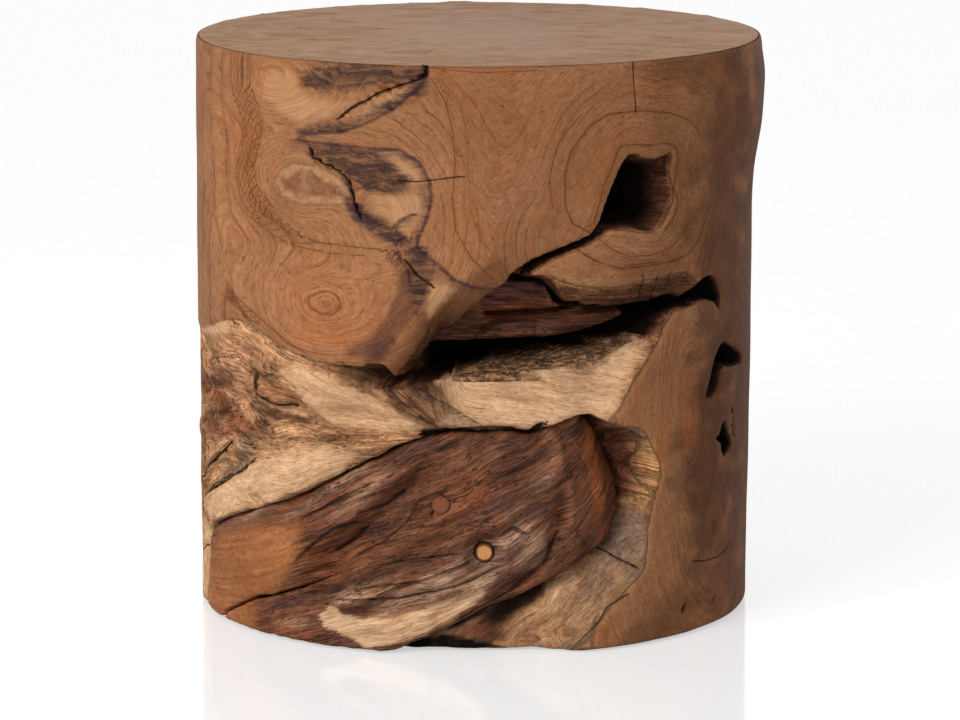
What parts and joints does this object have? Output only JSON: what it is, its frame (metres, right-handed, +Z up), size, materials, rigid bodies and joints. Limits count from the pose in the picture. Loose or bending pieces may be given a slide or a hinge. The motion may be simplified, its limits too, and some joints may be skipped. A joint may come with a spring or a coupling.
{
  "type": "accent stool",
  "caption": "Drum-shaped accent stool sawn from one tree root, with natural hollows and loose root limbs pegged into its front.",
  "frame": {"origin": "on the floor, under the middle of the drum", "axes": "+Z up along the drum, -Y towards the front with the two pegged limbs, +X to the front's right"},
  "size_m": [0.4057, 0.4057, 0.412],
  "materials": {
    "sanded_teak": "sanded teak, matt clear coat",
    "weathered_teak": "natural root surface, brushed and oiled",
    "peg_teak": "sanded end grain",
    "felt": "pressed felt"
  },
  "bodies": {
    "root": {"root_block": "sanded_teak", "upper_limb": "weathered_teak", "lower_limb": "weathered_teak", "hollow_strand": "weathered_teak", "lower_peg": "peg_teak", "upper_peg": "peg_teak", "felt_pad_1": "felt", "felt_pad_2": "felt", "felt_pad_3": "felt", "felt_pad_4": "felt"}
  },
  "joints": []
}
